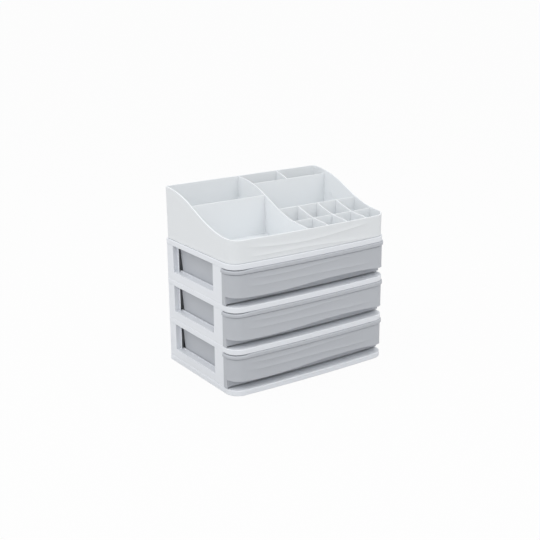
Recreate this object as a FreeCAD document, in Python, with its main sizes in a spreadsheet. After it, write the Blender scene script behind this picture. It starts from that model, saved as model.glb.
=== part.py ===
# Makeup organizer: a white drawer frame in three tiers, three grey drawers
# with a wave-cut finger recess, and a stepped tray with dividers on top.
import FreeCAD, Part
import math
import os
import Sketcher
from FreeCAD import Vector

# Driving dimensions, in millimetres unless the note says otherwise.
# "in from the outline" is measured inwards from the plates' outer edge.
SIZES = [
    ("margin", 10, "from each piece's own origin to the outline and to its underside"),
    ("past", 1, "how far a cut starts outside the piece it cuts"),
    ("sliver", 0.01, "how far a drafted hollow reaches above its rim"),
    ("width", 300, "plates, left to right"),
    ("depth", 204, "plates, front to back"),
    ("bow_radius", 2600, "radius of the gentle bow of every front edge"),
    ("front_corner", 22, "radius of the plates' front corners"),
    ("corner_back", "=bow_radius - sqrt((bow_radius - front_corner)^2 - (width / 2 - front_corner)^2)",
     "middle of the front corners, from the front"),
    ("back_corner", 7, "radius of the plates' back corners"),
    ("plate_high", 9, "height of a plate's edge band"),
    ("plate_deck", 2.4, "thickness of a plate's deck and skirt"),
    ("plate_edge", 1.2, "rounding of a plate's edges"),
    ("rib_thick", 1.6, "ribs under a deck"),
    ("rib_high", 5, "how far the ribs hang below the deck"),
    ("rib_place", 85, "outer ribs, from the middle"),
    ("bay_high", 58, "opening between two plates"),
    ("skin", 2.2, "walls of the side frames and drawer fronts"),
    ("side_in", 0.5, "outer face of a side frame, in from the outline"),
    ("post_deep", 10, "inner face of the posts, in from the outline"),
    ("sill_deep", 14.5, "inner face of the sill, in from the outline"),
    ("sill_high", 14, "sill under a side window"),
    ("side_front", 31.6, "front edge of a side frame, in from the outline"),
    ("window_front", 57.5, "front end of a side window, in from the front"),
    ("window_back", 180, "back end of a side window, in from the front"),
    ("side_corner", 6.2, "rounding of a side frame's rear corner"),
    ("tongue_in", 3.2, "top tongues, in from the outline"),
    ("tongue_thick", 4.5, "top tongues"),
    ("tongue_long", 12, "tongues, along the side"),
    ("tongue_high", 5, "top tongues, above the post"),
    ("key_low", 4.5, "bottom keys, below the sill"),
    ("key_front", 92, "front key, from the front"),
    ("key_back", 157, "back key, from the front"),
    ("slot_gap", 0.2, "play between a key and its slot"),
    ("panel_lap", 5, "ends of the back panel, in from the outline"),
    ("groove_gap", 0.1, "play of the back panel in its grooves"),
    ("front_deep", 31, "side arms of a drawer front"),
    ("front_top_gap", 1.2, "above a drawer front, to the plate"),
    ("front_foot_gap", 0.8, "below the left arm, to the deck"),
    ("bead_out", 1.8, "bead along the front's upper edge"),
    ("bead_high", 5, "bead along the front's upper edge"),
    ("bead_round", 1.7, "rounding of the bead"),
    ("recess_back", 18, "wall behind the finger recess, in from the bowed front"),
    ("recess_in", 0.4, "recess wall's right end, in from the outline"),
    ("recess_corner", 3, "rounding of the recess wall's right corner"),
    ("recess_end", 22, "left end of the recess, from the front"),
    ("recess_foot_gap", 2, "below the recess wall, to the deck"),
    ("lip_top", 20.5, "top of the solid lip over the recess"),
    ("wave_start_high", 15.4, "recess edge at the left side, above the deck"),
    ("wave_rise_high", 14.2, "recess edge where the left corner ends, above the deck"),
    ("wave_low_at", 55, "lowest place of the recess edge, from the left"),
    ("wave_low_high", 13.3, "recess edge there, above the deck"),
    ("wave_top_at", 205, "highest place of the recess edge, from the left"),
    ("wave_top_high", 18.1, "recess edge there, above the deck"),
    ("wave_bend_high", 15, "recess edge where the right corner starts, above the deck"),
    ("wave_end_high", 12.6, "recess edge at the right side, above the deck"),
    ("front_open_in", 10.6, "opening for the box in the front's top, from the side"),
    ("front_open_front", 22.3, "opening for the box in the front's top, from the front"),
    ("box_top_side", 12.5, "drawer box at its rim, in from the outline"),
    ("box_low_side", 16, "drawer box at its floor, in from the outline"),
    ("box_top_front", 22.6, "drawer box at its rim, from the front"),
    ("box_low_front", 24.6, "drawer box at its floor, from the front"),
    ("box_top_back", 183, "drawer box at its rim, from the front"),
    ("box_low_back", 181, "drawer box at its floor, from the front"),
    ("box_corner", 8, "radius of the drawer box's corners"),
    ("box_wall", 2, "walls and floor of the drawer box"),
    ("box_floor_gap", 2.5, "below the drawer box, to the deck"),
    ("box_top", 55.8, "rim of the drawer box, above the deck"),
    ("rim_out", 1.5, "rim lip of the drawer box"),
    ("rim_high", 2, "rim lip of the drawer box"),
    ("runner_gap", 0.5, "below the runners, to the deck"),
    ("runner_wide", 4, "runners under the drawer box"),
    ("runner_place", 95, "runners, from the middle"),
    ("hook_wide", 12, "hooks that hold the front"),
    ("hook_low", 8, "hooks, above the deck"),
    ("hook_high", 6, "hooks that hold the front"),
    ("tray_gap", 0.3, "below the tray, to the top plate"),
    ("tray_in", 2.2, "foot of the tray, in from the outline"),
    ("tray_rim_in", 1.5, "tray at its back edge, in from the outline"),
    ("tray_wall", 2.5, "walls of the tray"),
    ("tray_foot", 2.5, "foot ring under the tray's floor"),
    ("tray_floor", 2.2, "floor of the tray"),
    ("tray_front_high", 35.3, "front wall of the tray, above its foot"),
    ("tray_back_high", 84.7, "back wall of the tray, above its foot"),
    ("curve_front", 15, "where the tray's side edge starts to rise, from the front"),
    ("curve_back", 200, "where the tray's side edge is level again, from the front"),
    ("curve_radius", 180, "lower bend of the side edge"),
    ("curve_slope", 26, "steepest slope of the side edge, degrees"),
    ("boss_high", 1.7, "raised field on the top plate that the tray sits round"),
    ("boss_in", 5.2, "raised field, in from the outline"),
    ("divider", 2, "thickness of the tray's dividers"),
    ("embed", 2, "how far a divider reaches into the tray's wall"),
    ("divider_drop", 0.8, "dividers, below the side edge"),
    ("rear_drop", 4.3, "rear right divider, below the side edge"),
    ("short_drop", 2, "short divider, below the side edge"),
    ("long_at", 140.5, "long divider, from the left"),
    ("left_cross_at", 121.5, "left cross divider, from the front"),
    ("rear_cross_at", 169, "rear right divider, from the front"),
    ("middle_cross_at", 85.5, "middle right divider, from the front"),
    ("grid_cross_at", 45, "cross divider of the lipstick grid, from the front"),
    ("lap_high", 14, "half-lap joints of the grid, above the floor"),
    ("lap_gap", 0.1, "play in the half-lap joints"),
]

TIERS = ["lower", "middle", "upper"]
# How near two places lie that count as the same, in millimetres.
TOUCH = 0.01
# A cut that takes away less than this, in cubic millimetres, is a mistake.
LEAST_CUT = 1

doc = FreeCAD.newDocument("makeup_organizer")
sizes = doc.addObject("Spreadsheet::Sheet", "sizes")
for row, (alias, value, note) in enumerate(SIZES, start=1):
    sizes.set("A%d" % row, note)
    sizes.set("B%d" % row, str(value))
    sizes.setAlias("B%d" % row, alias)
doc.recompute()

NAMES = sorted((alias for alias, value, note in SIZES), key=len, reverse=True)


def cells(words):
    """Turns plain words such as 'width - skin' into an expression on the sheet."""
    out = []
    for word in words.replace("(", " ( ").replace(")", " ) ").split():
        out.append("sizes." + word if word in NAMES else word)
    return " ".join(out)


def number(words):
    """The present value of an expression."""
    return float(sizes.evalExpression(cells(words)))


def new_body(label):
    """An empty body with a label of its own."""
    body = doc.addObject("PartDesign::Body", label)
    body.Label = label
    return body


def place(body, height):
    """Puts a body in the organizer's frame: origin under the middle of its box."""
    body.setExpression("Placement.Base.x", cells("0 - width / 2 - margin"))
    body.setExpression("Placement.Base.y", cells("bead_out / 2 - depth / 2 - margin"))
    body.setExpression("Placement.Base.z", cells("( " + height + " ) - margin"))


def sketch_on(body, role, name, offset):
    """A sketch on one of the body's own origin planes, moved along its normal."""
    plane = [item for item in body.Origin.OriginFeatures if item.Role == role][0]
    sketch = body.newObject("Sketcher::SketchObject", name)
    sketch.AttachmentSupport = (plane, [""])
    sketch.MapMode = "FlatFace"
    sketch.setExpression("AttachmentOffset.Base.z", cells(offset))
    return sketch


def flat_sketch(body, name, height):
    """A level sketch at a height above the piece's underside."""
    return sketch_on(body, "XY_Plane", name, "margin + " + height)


def bind(sketch, kind, places, words):
    """Adds a dimension whose value follows the sheet."""
    index = sketch.addConstraint(Sketcher.Constraint(kind, *places, number(words)))
    sketch.setExpression("Constraints[%d]" % index, cells(words))


def pin(sketch, item, end, across, up):
    """Holds one end of a line or arc at a place, measured past the margin."""
    if across is not None:
        bind(sketch, "DistanceX", (-1, 1, item, end), "margin + " + across)
    if up is not None:
        bind(sketch, "DistanceY", (-1, 1, item, end), "margin + " + up)


def rectangle(sketch, left, right, low, high):
    """A closed rectangle between four places."""
    edges = sorted((number("margin + " + word), word) for word in (left, right))
    (x0, left), (x1, right) = edges
    y0, y1 = number("margin + " + low), number("margin + " + high)
    corners = [Vector(x0, y0), Vector(x1, y0), Vector(x1, y1), Vector(x0, y1)]
    first = None
    for a, b in zip(corners, corners[1:] + corners[:1]):
        item = sketch.addGeometry(Part.LineSegment(a, b))
        first = item if first is None else first
    for step in range(4):
        after = first + (step + 1) % 4
        sketch.addConstraint(Sketcher.Constraint("Coincident", first + step, 2, after, 1))
        kind = "Horizontal" if step % 2 == 0 else "Vertical"
        sketch.addConstraint(Sketcher.Constraint(kind, first + step))
    pin(sketch, first, 1, left, low)
    pin(sketch, first + 2, 1, right, high)


def corner_arc(centre, radius, start):
    """A quarter arc from an angle in degrees, counter-clockwise."""
    circle = Part.Circle(centre, Vector(0, 0, 1), radius)
    return Part.ArcOfCircle(circle, math.radians(start), math.radians(start + 90))


def front_arcs(inset):
    """The bow and its left and right corner, moved inwards, before they are constrained."""
    x_left, x_right = number("margin + front_corner"), number("margin + width - front_corner")
    y_corner = number("margin + corner_back")
    radius = number("front_corner - ( " + inset + " )")
    centre = Vector(number("margin + width / 2"), number("margin + bow_radius"))
    turn = math.asin((x_right - x_left) / 2 / number("bow_radius - front_corner"))
    ahead = math.radians(270)
    up = Vector(0, 0, 1)
    bow = Part.Circle(centre, up, number("bow_radius - ( " + inset + " )"))
    left = Part.Circle(Vector(x_left, y_corner), up, radius)
    right = Part.Circle(Vector(x_right, y_corner), up, radius)
    return (Part.ArcOfCircle(bow, ahead - turn, ahead + turn),
            Part.ArcOfCircle(left, math.radians(180), ahead - turn),
            Part.ArcOfCircle(right, ahead + turn, math.radians(360)))


def bind_front(sketch, bow, left, right, inset):
    """Dimensions of a bow and its two corners."""
    pin(sketch, bow, 3, "width / 2", "bow_radius")
    bind(sketch, "Radius", (bow,), "bow_radius - ( " + inset + " )")
    bind(sketch, "Radius", (right,), "front_corner - ( " + inset + " )")
    sketch.addConstraint(Sketcher.Constraint("Equal", right, left))


def outline(sketch, inset, back_radius):
    """The plates' outline, moved inwards: a bowed front and rounded corners."""
    x0, x1 = number("margin + " + inset), number("margin + width - ( " + inset + " )")
    y1 = number("margin + depth - ( " + inset + " )")
    y_corner = number("margin + corner_back")
    rb = number(back_radius)
    bow, left, right = front_arcs(inset)
    add = sketch.addGeometry
    add(bow)
    add(right)
    add(Part.LineSegment(Vector(x1, y_corner), Vector(x1, y1 - rb)))
    add(corner_arc(Vector(x1 - rb, y1 - rb), rb, 0))
    add(Part.LineSegment(Vector(x1 - rb, y1), Vector(x0 + rb, y1)))
    add(corner_arc(Vector(x0 + rb, y1 - rb), rb, 90))
    add(Part.LineSegment(Vector(x0, y1 - rb), Vector(x0, y_corner)))
    add(left)
    for step in range(8):
        sketch.addConstraint(Sketcher.Constraint("Tangent", step, 2, (step + 1) % 8, 1))
    for item, kind in ((2, "Vertical"), (4, "Horizontal"), (6, "Vertical")):
        sketch.addConstraint(Sketcher.Constraint(kind, item))
    bind_front(sketch, 0, 7, 1, inset)
    bind(sketch, "Radius", (3,), back_radius)
    sketch.addConstraint(Sketcher.Constraint("Equal", 3, 5))
    pin(sketch, 2, 1, "width - ( " + inset + " )", None)
    pin(sketch, 4, 1, None, "depth - ( " + inset + " )")
    pin(sketch, 6, 1, inset, None)


def rounded(sketch, left, right, front, back, radius):
    """A closed rectangle with four rounded corners."""
    x0, x1 = number("margin + " + left), number("margin + " + right)
    y0, y1 = number("margin + " + front), number("margin + " + back)
    r = number(radius)
    add = sketch.addGeometry
    add(Part.LineSegment(Vector(x0 + r, y0), Vector(x1 - r, y0)))
    add(corner_arc(Vector(x1 - r, y0 + r), r, 270))
    add(Part.LineSegment(Vector(x1, y0 + r), Vector(x1, y1 - r)))
    add(corner_arc(Vector(x1 - r, y1 - r), r, 0))
    add(Part.LineSegment(Vector(x1 - r, y1), Vector(x0 + r, y1)))
    add(corner_arc(Vector(x0 + r, y1 - r), r, 90))
    add(Part.LineSegment(Vector(x0, y1 - r), Vector(x0, y0 + r)))
    add(corner_arc(Vector(x0 + r, y0 + r), r, 180))
    for step in range(8):
        sketch.addConstraint(Sketcher.Constraint("Tangent", step, 2, (step + 1) % 8, 1))
    for item, kind in ((0, "Horizontal"), (2, "Vertical"), (4, "Horizontal"), (6, "Vertical")):
        sketch.addConstraint(Sketcher.Constraint(kind, item))
    bind(sketch, "Radius", (1,), radius)
    for item in (3, 5, 7):
        sketch.addConstraint(Sketcher.Constraint("Equal", 1, item))
    pin(sketch, 0, 1, None, front)
    pin(sketch, 2, 1, right, None)
    pin(sketch, 4, 1, None, back)
    pin(sketch, 6, 1, left, None)


def arms(sketch, inset, back):
    """A bowed front with two rounded corners and square ends at the back."""
    x0, x1 = number("margin + " + inset), number("margin + width - ( " + inset + " )")
    y1 = number("margin + " + back)
    y_corner = number("margin + corner_back")
    bow, left, right = front_arcs(inset)
    add = sketch.addGeometry
    add(bow)
    add(right)
    add(Part.LineSegment(Vector(x1, y_corner), Vector(x1, y1)))
    add(Part.LineSegment(Vector(x1, y1), Vector(x0, y1)))
    add(Part.LineSegment(Vector(x0, y1), Vector(x0, y_corner)))
    add(left)
    for a, b in ((0, 1), (1, 2), (4, 5), (5, 0)):
        sketch.addConstraint(Sketcher.Constraint("Tangent", a, 2, b, 1))
    for a, b in ((2, 3), (3, 4)):
        sketch.addConstraint(Sketcher.Constraint("Coincident", a, 2, b, 1))
    for item, kind in ((2, "Vertical"), (3, "Horizontal"), (4, "Vertical")):
        sketch.addConstraint(Sketcher.Constraint(kind, item))
    bind_front(sketch, 0, 5, 1, inset)
    pin(sketch, 2, 2, "width - ( " + inset + " )", back)
    pin(sketch, 4, 1, inset, None)


def band(sketch, outer, inner, back):
    """A U of one thickness along the bowed front, between two insets."""
    for inset in (outer, inner):
        x0, x1 = number("margin + " + inset), number("margin + width - ( " + inset + " )")
        y1 = number("margin + " + back)
        y_corner = number("margin + corner_back")
        bow, left, right = front_arcs(inset)
        add = sketch.addGeometry
        add(Part.LineSegment(Vector(x0, y1), Vector(x0, y_corner)))
        add(left)
        add(bow)
        add(right)
        add(Part.LineSegment(Vector(x1, y_corner), Vector(x1, y1)))
    for first, inset in ((0, outer), (5, inner)):
        for step in range(4):
            place_pair = (first + step, 2, first + step + 1, 1)
            sketch.addConstraint(Sketcher.Constraint("Tangent", *place_pair))
        for step in (0, 4):
            sketch.addConstraint(Sketcher.Constraint("Vertical", first + step))
        bind_front(sketch, first + 2, first + 1, first + 3, inset)
        pin(sketch, first, 1, inset, back)
        pin(sketch, first + 4, 2, "width - ( " + inset + " )", back)
    for a, a_end, b, b_end in ((0, 1, 5, 1), (4, 2, 9, 2)):
        start, stop = sketch.getPoint(a, a_end), sketch.getPoint(b, b_end)
        item = sketch.addGeometry(Part.LineSegment(start, stop))
        sketch.addConstraint(Sketcher.Constraint("Coincident", a, a_end, item, 1))
        sketch.addConstraint(Sketcher.Constraint("Coincident", b, b_end, item, 2))


def behind_bow(sketch, left, right, inset, back):
    """The area between two sides, from the bow at an inset to a straight back."""
    x0, x1 = number("margin + " + left), number("margin + " + right)
    y1 = number("margin + " + back)
    centre = Vector(number("margin + width / 2"), number("margin + bow_radius"))
    radius = number("bow_radius - ( " + inset + " )")
    ahead = math.radians(270)
    turns = [ahead + math.asin((x - centre.x) / radius) for x in (x0, x1)]
    bow = Part.ArcOfCircle(Part.Circle(centre, Vector(0, 0, 1), radius), *turns)
    start, stop = bow.StartPoint, bow.EndPoint
    add = sketch.addGeometry
    add(bow)
    add(Part.LineSegment(stop, Vector(x1, y1)))
    add(Part.LineSegment(Vector(x1, y1), Vector(x0, y1)))
    add(Part.LineSegment(Vector(x0, y1), start))
    for step in range(4):
        sketch.addConstraint(Sketcher.Constraint("Coincident", step, 2, (step + 1) % 4, 1))
    for item, kind in ((1, "Vertical"), (2, "Horizontal"), (3, "Vertical")):
        sketch.addConstraint(Sketcher.Constraint(kind, item))
    pin(sketch, 0, 3, "width / 2", "bow_radius")
    bind(sketch, "Radius", (0,), "bow_radius - ( " + inset + " )")
    pin(sketch, 1, 2, right, back)
    pin(sketch, 2, 2, left, None)


def bowed(across):
    """How far back the bow lies at a place across the front."""
    off = "( " + across + " - width / 2 )"
    return off + " * " + off + " / ( 2 * bow_radius )"


def pad(body, sketch, length):
    """Adds the sketch's area, raised by a length."""
    feature = body.newObject("PartDesign::Pad", "pad")
    feature.Profile = sketch
    feature.setExpression("Length", cells(length))
    body.Tip = feature


def pocket(body, sketch, length, upwards):
    """Cuts the sketch's area away; upwards means along the sketch's normal."""
    before = solid(body).Volume
    feature = body.newObject("PartDesign::Pocket", "pocket")
    feature.Profile = sketch
    feature.setExpression("Length", cells(length))
    feature.Reversed = upwards
    body.Tip = feature
    if solid(body).Volume > before - LEAST_CUT:
        raise RuntimeError(body.Label + ": a pocket cut nothing")


def loft(body, kind, low, high):
    """A straight-sided body between two sketches."""
    feature = body.newObject("PartDesign::" + kind, "loft")
    feature.Profile = low
    feature.Sections = [high]
    feature.Ruled = True
    body.Tip = feature


def solid(body):
    """The body's shape as it is now."""
    doc.recompute()
    return body.Shape


def fillet(body, radius, wanted):
    """Rounds the edges that a test on their middle and direction picks."""
    shape = solid(body)
    base = body.Tip
    names = []
    for index, edge in enumerate(base.Shape.Edges, start=1):
        middle = edge.valueAt((edge.FirstParameter + edge.LastParameter) / 2)
        if wanted(middle, edge):
            names.append("Edge%d" % index)
    if not names:
        raise RuntimeError(body.Label + ": no edge to round")
    feature = body.newObject("PartDesign::Fillet", "fillet")
    feature.Base = (base, names)
    feature.setExpression("Radius", cells(radius))
    body.Tip = feature
    if solid(body).isNull() or not solid(body).Volume < shape.Volume:
        raise RuntimeError(body.Label + ": the rounding failed")


def level_edge(*heights):
    """A test for edges that lie level at one of the heights."""
    places = [number("margin + " + height) for height in heights]

    def wanted(middle, edge):
        box = edge.BoundBox
        level = box.ZMax - box.ZMin < TOUCH
        return level and any(abs(middle.z - place_z) < TOUCH for place_z in places)
    return wanted


def plate(label, height, slots, boss):
    """A plate: deck, skirt and ribs, with slots for the keys of the side frames above."""
    body = new_body(label)
    sketch = flat_sketch(body, "outline", "0")
    outline(sketch, "0", "back_corner")
    pad(body, sketch, "plate_high")
    fillet(body, "plate_edge", level_edge("0", "plate_high"))
    sketch = flat_sketch(body, "hollow", "0")
    outline(sketch, "plate_deck", "back_corner - plate_deck")
    pocket(body, sketch, "plate_high - plate_deck", True)
    sketch = flat_sketch(body, "ribs", "plate_high - plate_deck - rib_high")
    for middle in ("width / 2 - rib_place", "width / 2", "width / 2 + rib_place"):
        rectangle(sketch, middle + " - rib_thick / 2", middle + " + rib_thick / 2",
                  "plate_deck * 3 / 4", "depth - plate_deck / 2")
    pad(body, sketch, "rib_high + plate_deck / 2")
    if slots:
        sketch = flat_sketch(body, "slots", "plate_high")
        for flip in (False, True):
            for along in ("key_front", "key_back"):
                rectangle(sketch, side("sill_deep - skin - slot_gap", flip),
                          side("sill_deep + slot_gap", flip),
                          along + " - tongue_long / 2 - slot_gap",
                          along + " + tongue_long / 2 + slot_gap")
        pocket(body, sketch, "plate_deck * 2", False)
    if boss:
        sketch = flat_sketch(body, "boss", "plate_high - plate_deck / 2")
        outline(sketch, "boss_in", "back_corner - boss_in")
        pad(body, sketch, "plate_deck / 2 + boss_high")
    place(body, height)


def side(words, flip):
    """A place measured from the left edge, or from the right edge if flipped."""
    return "width - ( " + words + " )" if flip else words


def side_frame(label, height, flip):
    """One side of one tier: a sill, two posts, tongues, keys and a panel groove."""
    body = new_body(label)
    outer = side("side_in", flip)
    back = "depth - side_in"
    sketch = flat_sketch(body, "sill", "0")
    rectangle(sketch, outer, side("sill_deep", flip), "side_front", back)
    pad(body, sketch, "sill_high")
    sketch = flat_sketch(body, "posts", "sill_high / 2")
    rectangle(sketch, outer, side("post_deep", flip), "side_front", "window_front")
    rectangle(sketch, outer, side("post_deep", flip), "window_back", back)
    pad(body, sketch, "bay_high - sill_high / 2")

    edge_x, edge_y = number("margin + " + outer), number("margin + " + back)

    def rear_corner(middle, edge):
        near = abs(middle.x - edge_x) < TOUCH and abs(middle.y - edge_y) < TOUCH
        return near and edge.BoundBox.ZMax - edge.BoundBox.ZMin > TOUCH

    fillet(body, "side_corner", rear_corner)
    sketch = flat_sketch(body, "channel", "0")
    rectangle(sketch, side("side_in + skin", flip), side("sill_deep - skin", flip),
              "side_front + skin", back + " - skin")
    pocket(body, sketch, "sill_high - skin", True)
    start = side("post_deep", flip)
    sketch = sketch_on(body, "YZ_Plane", "post_hollows", "margin + " + start)
    low, high = "sill_high", "bay_high - skin"
    rectangle(sketch, "side_front + skin", "window_front - skin", low, high)
    rectangle(sketch, "window_back + skin", back + " - skin", low, high)
    pocket(body, sketch, "post_deep - side_in - skin", flip)
    sketch = flat_sketch(body, "groove", "bay_high")
    panel_back = back + " - skin"
    rectangle(sketch, side("panel_lap - groove_gap", flip), side("sill_deep + past", flip),
              panel_back + " - skin - groove_gap", panel_back)
    pocket(body, sketch, "bay_high", False)
    sketch = flat_sketch(body, "tongues", "bay_high - skin / 2")
    front_tongue = "( side_front + window_front ) / 2"
    rear_tongue = "window_back + tongue_long / 2"
    for middle in (front_tongue, rear_tongue):
        rectangle(sketch, side("tongue_in", flip), side("tongue_in + tongue_thick", flip),
                  middle + " - tongue_long / 2", middle + " + tongue_long / 2")
    pad(body, sketch, "tongue_high + skin / 2")
    sketch = flat_sketch(body, "keys", "0 - key_low")
    for middle in ("key_front", "key_back"):
        rectangle(sketch, side("sill_deep - skin", flip), side("sill_deep", flip),
                  middle + " - tongue_long / 2", middle + " + tongue_long / 2")
    pad(body, sketch, "key_low + skin")
    place(body, height)


def back_panel(label, height):
    """A flat panel that closes the back of one tier."""
    body = new_body(label)
    sketch = flat_sketch(body, "panel", "0")
    rear = "depth - side_in - skin"
    rectangle(sketch, "panel_lap", "width - panel_lap", rear + " - skin", rear)
    pad(body, sketch, "bay_high")
    place(body, height)


def drawer_box(label, height):
    """A drawer's box: drafted walls, rim lip, runners and hooks."""
    body = new_body(label)
    low = flat_sketch(body, "floor_outline", "box_floor_gap")
    rounded(low, "box_low_side", "width - box_low_side", "box_low_front", "box_low_back",
            "box_corner")
    high = flat_sketch(body, "rim_outline", "box_top")
    rounded(high, "box_top_side", "width - box_top_side", "box_top_front", "box_top_back",
            "box_corner")
    loft(body, "AdditiveLoft", low, high)
    ring = flat_sketch(body, "rim", "box_top - rim_high")
    rounded(ring, "box_top_side - rim_out", "width - box_top_side + rim_out", "box_top_front",
            "box_top_back + rim_out", "box_corner")
    pad(body, ring, "rim_high")
    low = flat_sketch(body, "floor_inside", "box_floor_gap + box_wall")
    rounded(low, "box_low_side + box_wall", "width - box_low_side - box_wall",
            "box_low_front + box_wall", "box_low_back - box_wall", "box_corner - box_wall")
    high = flat_sketch(body, "rim_inside", "box_top + sliver")
    rounded(high, "box_top_side + box_wall", "width - box_top_side - box_wall",
            "box_top_front + box_wall", "box_top_back - box_wall", "box_corner - box_wall")
    loft(body, "SubtractiveLoft", low, high)
    sketch = flat_sketch(body, "runners", "runner_gap")
    for middle in ("width / 2 - runner_place", "width / 2 + runner_place"):
        rectangle(sketch, middle + " - runner_wide / 2", middle + " + runner_wide / 2",
                  "box_low_front + box_corner", "box_low_back - box_corner")
    pad(body, sketch, "box_floor_gap - runner_gap + box_wall / 2")
    sketch = flat_sketch(body, "hooks", "hook_low")
    for middle, corner in (("width / 4", " - "), ("width / 2", " - "), ("width * 3 / 4", " + ")):
        front = "recess_back + skin + " + bowed(middle + corner + "hook_wide / 2")
        rectangle(sketch, middle + " - hook_wide / 2", middle + " + hook_wide / 2",
                  front, "box_low_front + box_wall / 2")
    pad(body, sketch, "hook_high")
    place(body, height)


def wave_region(sketch):
    """Everything below the wave edge, from past the left side to past the right."""
    left, right = "0 - margin / 2", "width + margin / 2"
    x_start, x_rise, x_low, x_top, x_fall, x_end = (number("margin + " + word) for word in (
        "0 - past", "front_corner", "wave_low_at", "wave_top_at", "width - front_corner",
        "width + past"))
    z_start, z_rise, z_low, z_top, z_fall, z_end = (number("margin + " + word) for word in (
        "wave_start_high", "wave_rise_high", "wave_low_high", "wave_top_high",
        "wave_bend_high", "wave_end_high"))

    def bow(x_level, z_level, x_far, z_far):
        """Radius of an arc that is level at one place and passes through another."""
        run, rise = x_far - x_level, z_far - z_level
        return (run * run + rise * rise) / (2 * abs(rise))

    def arc(centre, radius, x_from, x_to, below):
        """An arc over a stretch, above or below its centre."""
        turn = -1 if below else 1
        angles = []
        for x in (x_from, x_to):
            run = x - centre.x
            rise = turn * math.sqrt(radius * radius - run * run)
            angles.append(math.atan2(rise, run))
        circle = Part.Circle(centre, Vector(0, 0, 1), radius)
        return Part.ArcOfCircle(circle, min(angles), max(angles))

    x_bend = (x_low + x_top) / 2
    z_bend = (z_low + z_top) / 2
    steep = bow(x_low, z_low, x_rise, z_rise)
    gentle = bow(x_low, z_low, x_bend, z_bend)
    fall = bow(x_top, z_top, x_fall, z_fall)
    add = sketch.addGeometry
    add(arc(Vector(x_low, z_low + steep), steep, x_rise, x_low, True))
    add(arc(Vector(x_low, z_low + gentle), gentle, x_low, x_bend, True))
    add(arc(Vector(x_top, z_top - gentle), gentle, x_bend, x_top, False))
    add(arc(Vector(x_top, z_top - fall), fall, x_top, x_fall, False))
    x_far, z_far = number("margin + " + right), number("margin / 2")
    x_near = number("margin + " + left)
    corners = [Vector(x_fall, z_fall), Vector(x_end, z_end), Vector(x_far, z_end),
               Vector(x_far, z_far), Vector(x_near, z_far), Vector(x_near, z_start),
               Vector(x_start, z_start), Vector(x_rise, z_rise)]
    for a, b in zip(corners, corners[1:]):
        add(Part.LineSegment(a, b))
    join = sketch.addConstraint
    # an arc above its centre runs from right to left, one below it from left to right
    join(Sketcher.Constraint("Coincident", 0, 2, 1, 1))
    join(Sketcher.Constraint("Tangent", 1, 2, 2, 2))
    join(Sketcher.Constraint("Coincident", 2, 1, 3, 2))
    join(Sketcher.Constraint("Coincident", 3, 1, 4, 1))
    for item in range(4, 10):
        join(Sketcher.Constraint("Coincident", item, 2, item + 1, 1))
    join(Sketcher.Constraint("Coincident", 10, 2, 0, 1))
    for item, kind in ((5, "Horizontal"), (6, "Vertical"), (7, "Horizontal"),
                       (8, "Vertical"), (9, "Horizontal")):
        join(Sketcher.Constraint(kind, item))
    join(Sketcher.Constraint("Equal", 1, 2))
    join(Sketcher.Constraint("Vertical", 0, 3, 0, 2))
    join(Sketcher.Constraint("Vertical", 1, 3, 1, 1))
    join(Sketcher.Constraint("Vertical", 2, 3, 2, 1))
    join(Sketcher.Constraint("Vertical", 3, 3, 3, 2))
    pin(sketch, 0, 1, "front_corner", "wave_rise_high")
    pin(sketch, 0, 2, "wave_low_at", "wave_low_high")
    pin(sketch, 2, 1, "wave_top_at", "wave_top_high")
    pin(sketch, 3, 1, "width - front_corner", "wave_bend_high")
    pin(sketch, 4, 2, "width + past", "wave_end_high")
    pin(sketch, 6, 1, right, None)
    pin(sketch, 7, 2, left, None)
    bind(sketch, "DistanceY", (-1, 1, 7, 2), "margin / 2")
    pin(sketch, 9, 2, "0 - past", "wave_start_high")


def left_arm(sketch):
    """The front's left side beside the recess: it follows the outline's corner."""
    centre = Vector(number("margin + front_corner"), number("margin + corner_back"))
    radius = number("front_corner")
    x_out, x_in = number("margin"), number("margin + skin")
    y_front, y_back = number("margin + recess_end"), number("margin + front_deep")
    turn = math.pi + math.asin((centre.y - y_front) / radius)
    circle = Part.Circle(centre, Vector(0, 0, 1), radius)
    bend = Part.ArcOfCircle(circle, math.pi, turn)
    add = sketch.addGeometry
    add(bend)
    add(Part.LineSegment(bend.EndPoint, Vector(x_in, y_front)))
    add(Part.LineSegment(Vector(x_in, y_front), Vector(x_in, y_back)))
    add(Part.LineSegment(Vector(x_in, y_back), Vector(x_out, y_back)))
    add(Part.LineSegment(Vector(x_out, y_back), bend.StartPoint))
    for step in range(4):
        sketch.addConstraint(Sketcher.Constraint("Coincident", step, 2, step + 1, 1))
    sketch.addConstraint(Sketcher.Constraint("Tangent", 4, 2, 0, 1))
    for item, kind in ((1, "Horizontal"), (2, "Vertical"), (3, "Horizontal"), (4, "Vertical")):
        sketch.addConstraint(Sketcher.Constraint(kind, item))
    bind(sketch, "Radius", (0,), "front_corner")
    pin(sketch, 0, 3, "front_corner", "corner_back")
    pin(sketch, 1, 2, "skin", "recess_end")
    pin(sketch, 3, 1, None, "front_deep")


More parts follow.
